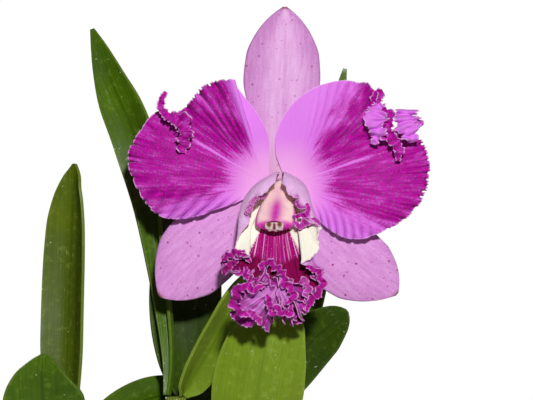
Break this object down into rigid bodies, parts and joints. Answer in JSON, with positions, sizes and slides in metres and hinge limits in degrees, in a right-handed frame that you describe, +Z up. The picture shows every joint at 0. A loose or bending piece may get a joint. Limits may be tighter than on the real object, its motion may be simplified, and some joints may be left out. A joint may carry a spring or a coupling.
{
  "type": "potted cattleya orchid",
  "caption": "Potted cattleya orchid with furrowed pseudobulbs, thick strap leaves and one open lilac flower with ruffled petals and a frilled crimson trumpet lip.",
  "frame": {"origin": "centre of the pot's foot, on the surface that the pot stands on", "axes": "+Z up, -Y the way the flower faces, +X to the right of a viewer who looks at the flower"},
  "size_m": [0.2079, 0.15, 0.4062],
  "materials": {
    "clay": "unglazed fired clay",
    "bark": "rough dry bark",
    "root": "dull grey-green velamen",
    "bulb": "satin furrowed green",
    "bract": "dry papery",
    "leaf": "leathery satin green",
    "stem": "smooth satin green",
    "sepal": "waxy pale lilac",
    "petal": "soft sheen violet-pink",
    "lip": "velvety crimson-magenta",
    "column": "waxy pale pink",
    "anther": "waxy cream"
  },
  "bodies": {
    "root": {"pot": "clay", "bark": "bark", "rhizome_and_roots": "root", "pseudobulb_front": "bulb", "pseudobulb_tall": "bulb", "pseudobulb_behind": "bulb", "pseudobulb_left": "bulb", "pseudobulb_right": "bulb", "leaf_tall": "leaf", "leaf_centre": "leaf", "leaf_front": "leaf", "leaf_right": "leaf", "leaf_behind": "leaf", "leaf_low": "leaf", "leaf_right_back": "leaf", "leaf_left_tall": "leaf", "leaf_left_low": "leaf", "flower_stem": "stem", "flower_sheath": "bract", "dorsal_sepal": "sepal", "sepal_left": "sepal", "sepal_right": "sepal", "petal_left": "petal", "petal_right": "petal", "lip": "lip", "column": "column", "anther_cap": "anther"}
  },
  "joints": []
}
